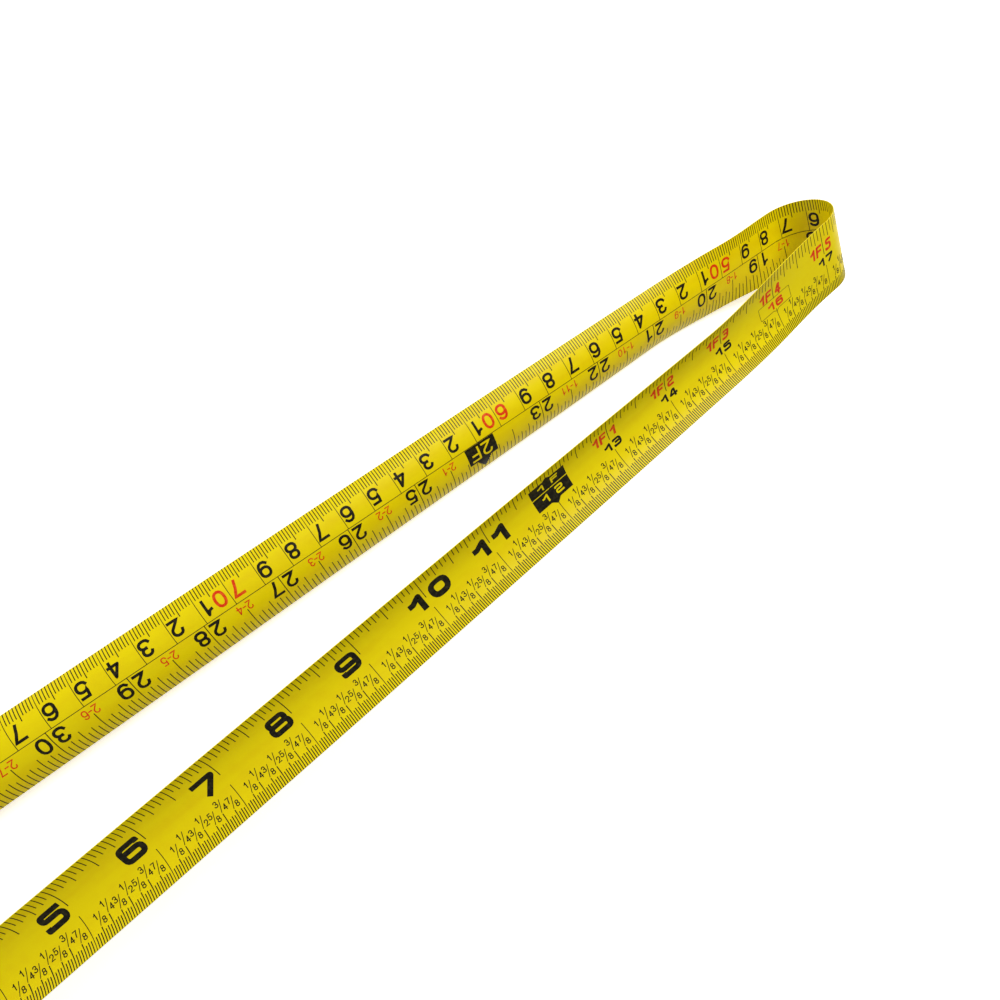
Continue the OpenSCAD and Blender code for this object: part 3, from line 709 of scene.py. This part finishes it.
INKS = {
    "black": ink_material("ink_black", (0.008, 0.007, 0.004), (0.03, 0.026, 0.01)),
    "red": ink_material("ink_red", (0.62, 0.035, 0.004), (0.7, 0.12, 0.01)),
    "yellow": ink_material("ink_yellow", YELLOW, YELLOW_DEEP),
}
sheets = {colour: Print() for colour in INKS}
print_front(**sheets)
print_back(**sheets)


def place_ink(name, sheet, beyond_fold, material):
    """Lays the films on the blade, and keeps those on one side of the fold's end."""
    flat = np.concatenate(sheet.points)
    faces = np.concatenate(sheet.faces)
    middle = flat[faces, 0].mean(1)
    chosen = faces[(middle > FOLD_END) == beyond_fold]
    used, index = np.unique(chosen, return_inverse=True)
    flat = flat[used]
    points = blade_surface(flat[:, 0], flat[:, 1], flat[:, 2])
    return new_piece(name, points, index.reshape(-1, 4), material, flat[:, :2], smooth=80)


for colour, sheet in sheets.items():
    drawn = place_ink("print_" + colour + "_drawn", sheet, True, INKS[colour])
    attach(drawn, "blade")
    folded = place_ink("print_" + colour + "_folded", sheet, False, INKS[colour])
    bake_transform(folded)


# Case: two moulded shells of matt black plastic that meet on the middle plane, with soft
# yellow grips moulded over their back and top, blank discs in their sides, a wear strip
# along the base and a rubber bumper under the mouth. Every edge is broken, as a mould's are.
def eased_copy(node, edge, material, body, rim=0.0, outer=None):
    """A copy of a CAD node whose sharp edges are rounded to `edge`, and those that `outer`
    picks by their middle to `rim`. Flat faces are joined first, so the rounding runs clean."""
    source = frame["nodes"][node]
    bm = bmesh.new()
    bm.from_mesh(source.data)
    bmesh.ops.remove_doubles(bm, verts=bm.verts, dist=1e-6)
    bmesh.ops.dissolve_limit(bm, angle_limit=math.radians(0.5), verts=bm.verts, edges=bm.edges)
    rounding = dict(profile=0.5, affect="EDGES", clamp_overlap=True)
    if outer is not None:
        chosen = [e for e in bm.edges if len(e.link_faces) == 2 and e.calc_face_angle(0) > 0.6
                  and outer((e.verts[0].co + e.verts[1].co) / 2)]
        bmesh.ops.bevel(bm, geom=chosen, offset=rim, segments=6, **rounding)
    sharp = [e for e in bm.edges if len(e.link_faces) == 2 and e.calc_face_angle(0) > 0.7]
    bmesh.ops.bevel(bm, geom=sharp, offset=edge, segments=2, **rounding)
    bmesh.ops.triangulate(bm, faces=[f for f in bm.faces if len(f.verts) > 4])
    mesh = bpy.data.meshes.new(node + "_eased")
    bm.to_mesh(mesh)
    bm.free()
    mesh.polygons.foreach_set("use_smooth", np.ones(len(mesh.polygons), bool))
    mesh.set_sharp_from_angle(angle=math.radians(35))
    mesh.materials.clear()
    mesh.materials.append(material)
    piece = bpy.data.objects.new(node + "_eased", mesh)
    bpy.context.collection.objects.link(piece)
    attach(piece, body)
    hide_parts(node)


CASE_LOW, CASE_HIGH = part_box("case_left")[0][2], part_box("case_right")[1][2]


def on_side_face(p):
    """True on the two side faces of the case."""
    return min(abs(p.z - CASE_LOW), abs(p.z - CASE_HIGH)) < 1e-5 and math.hypot(p.x, p.y) > 24 * MM


case_plastic = finish_material("case_plastic", (0.022, 0.023, 0.026), (0.05, 0.05, 0.055), 0.55, 0.68,
                               0.00009, scale=2600)
grip_rubber = finish_material("grip_rubber", (0.74, 0.50, 0.01), (0.62, 0.40, 0.02), 0.62, 0.75,
                              0.00008, scale=1800)
for node in ("case_left", "case_right"):
    eased_copy(node, 0.25 * MM, case_plastic, "case")
for node in ("grip_left", "grip_right"):
    eased_copy(node, 0.2 * MM, grip_rubber, "case", rim=1.6 * MM, outer=on_side_face)
disc_metal = finish_material("disc_metal", (0.55, 0.56, 0.58), (0.42, 0.43, 0.45), 0.3, 0.45, 0.00002,
                             scale=900, stretch=30, scratch_share=0.9, metallic=1.0)
for node in ("side_disc_left", "side_disc_right"):
    eased_copy(node, 0.2 * MM, disc_metal, "case")
strip_plastic = finish_material("strip_plastic", (0.2, 0.21, 0.22), (0.33, 0.33, 0.34), 0.4, 0.62,
                                0.00005, scale=700, stretch=16, scratch_share=0.8)
eased_copy("base_strip", 0.2 * MM, strip_plastic, "case")
bumper_rubber = finish_material("bumper_rubber", (0.012, 0.012, 0.012), (0.04, 0.04, 0.04), 0.7, 0.85,
                                0.00006, scale=2200)
eased_copy("hook_bumper", 0.4 * MM, bumper_rubber, "case")
guide_plastic = finish_material("guide_plastic", (0.78, 0.76, 0.70), (0.66, 0.62, 0.52), 0.3, 0.45,
                                0.00002, scale=1200)
eased_copy("mouth_guide", 0.2 * MM, guide_plastic, "case")


# Screws and belt clip: zinc-plated cross-head screws, and a clip of brushed spring steel.
screw_steel = finish_material("screw_steel", (0.5, 0.51, 0.53), (0.36, 0.36, 0.37), 0.3, 0.5, 0.00003,
                              scale=1500, metallic=1.0)
for node in ("case_screws", "clip_screw"):
    eased_copy(node, 0.12 * MM, screw_steel, "case")
clip_steel = finish_material("clip_steel", (0.6, 0.61, 0.62), (0.45, 0.45, 0.46), 0.26, 0.42, 0.00002,
                             scale=700, stretch=24, scratch_share=0.9, metallic=1.0,
                             turn=(0, 0, math.pi / 2))
eased_copy("belt_clip", 0.22 * MM, clip_steel, "case")


# Lock: a ribbed thumb button in the grips' yellow, the arm behind it and its rubber pad.
button_plastic = finish_material("button_plastic", (0.72, 0.47, 0.01), (0.6, 0.38, 0.02), 0.42, 0.6,
                                 0.00004, scale=1600)
eased_copy("lock_button", 0.3 * MM, button_plastic, "lock")
arm_plastic = finish_material("arm_plastic", (0.03, 0.03, 0.032), (0.06, 0.06, 0.06), 0.5, 0.65, 0.00006,
                              scale=2000)
eased_copy("brake_arm", 0.3 * MM, arm_plastic, "lock")
eased_copy("brake_pad", 0.2 * MM, bumper_rubber, "lock")


# End hook: stamped and plated steel, bent down at the end, loose on two pressed rivets.
hook_steel = finish_material("hook_steel", (0.6, 0.6, 0.6), (0.42, 0.42, 0.42), 0.24, 0.42, 0.00003,
                             scale=900, stretch=10, scratch_share=0.6, metallic=1.0)
eased_copy("end_hook", 0.15 * MM, hook_steel, "hook")
rivet_steel = finish_material("rivet_steel", (0.5, 0.5, 0.51), (0.35, 0.35, 0.36), 0.3, 0.5, 0.00003,
                              scale=1500, metallic=1.0)
eased_copy("hook_rivets", 0.18 * MM, rivet_steel, "blade_end")
eased_copy("rivet_plate", 0.12 * MM, rivet_steel, "blade_end")


# Inside the case: the drum and its cover in white plastic, the blued recoil spring, the
# turned post with its screw, and the wound blade, whose edges show as fine rings.
def dress(node, material):
    """Gives a CAD node, whose shape stays, its finish."""
    mesh = frame["nodes"][node].data
    mesh.materials.clear()
    mesh.materials.append(material)


drum_plastic = finish_material("drum_plastic", (0.82, 0.81, 0.77), (0.7, 0.68, 0.62), 0.4, 0.55, 0.00003,
                               scale=1500)
spring_steel = finish_material("spring_steel", (0.10, 0.13, 0.2), (0.22, 0.22, 0.24), 0.28, 0.45,
                               0.00002, scale=800, stretch=20, scratch_share=0.8, metallic=1.0)
post_steel = finish_material("post_steel", (0.55, 0.56, 0.58), (0.4, 0.4, 0.42), 0.25, 0.4, 0.00002,
                             scale=1100, metallic=1.0)
coil_paint = finish_material("coil_paint", YELLOW, (0.3, 0.25, 0.02), 0.35, 0.55, 0.00006, scale=1400,
                             stretch=1, scratch_share=0.2)
dress("drum", drum_plastic)
dress("drum_cover", drum_plastic)
dress("recoil_spring", spring_steel)
dress("spring_post", post_steel)
dress("post_screw", screw_steel)
dress("blade_coil", coil_paint)


# Floor and light: a pale floor that shows white, an even white room, and one large soft lamp
# to one side of the fold.
FLOOR_HALF = 6.0
floor_mesh = bpy.data.meshes.new("floor")
floor_mesh.from_pydata([(-FLOOR_HALF, -FLOOR_HALF, 0), (FLOOR_HALF, -FLOOR_HALF, 0),
                        (FLOOR_HALF, FLOOR_HALF, 0), (-FLOOR_HALF, FLOOR_HALF, 0)], [], [(0, 1, 2, 3)])
floor = bpy.data.objects.new("floor", floor_mesh)
bpy.context.collection.objects.link(floor)
floor_paper = finish_material("floor_paper", (0.93, 0.93, 0.93), (0.95, 0.95, 0.95), 0.8, 0.85,
                              0.00001, scale=40)
floor_shader = floor_paper.node_tree.nodes["Principled BSDF"]
floor_shader.inputs["Emission Color"].default_value = (1, 1, 1, 1)
floor_shader.inputs["Emission Strength"].default_value = 0.5
floor_mesh.materials.append(floor_paper)

world = bpy.data.worlds.new("room")
bpy.context.scene.world = world
world.use_nodes = True
world.node_tree.nodes["Background"].inputs["Color"].default_value = (1, 1, 1, 1)
world.node_tree.nodes["Background"].inputs["Strength"].default_value = 0.42


def soft_lamp(name, at, aim, size, power):
    """A square lamp at one point that faces another."""
    lamp = bpy.data.objects.new(name, bpy.data.lights.new(name, "AREA"))
    bpy.context.collection.objects.link(lamp)
    lamp.data.size = size
    lamp.data.energy = power
    lamp.location = at
    lamp.rotation_euler = (Vector(aim) - Vector(at)).to_track_quat("-Z", "Y").to_euler()


soft_lamp("key_lamp", (0.85, 0.62, 0.62), (0.42, 0.0, 0.0), 0.5, 7.9)
bpy.context.scene.view_settings.view_transform = "Standard"
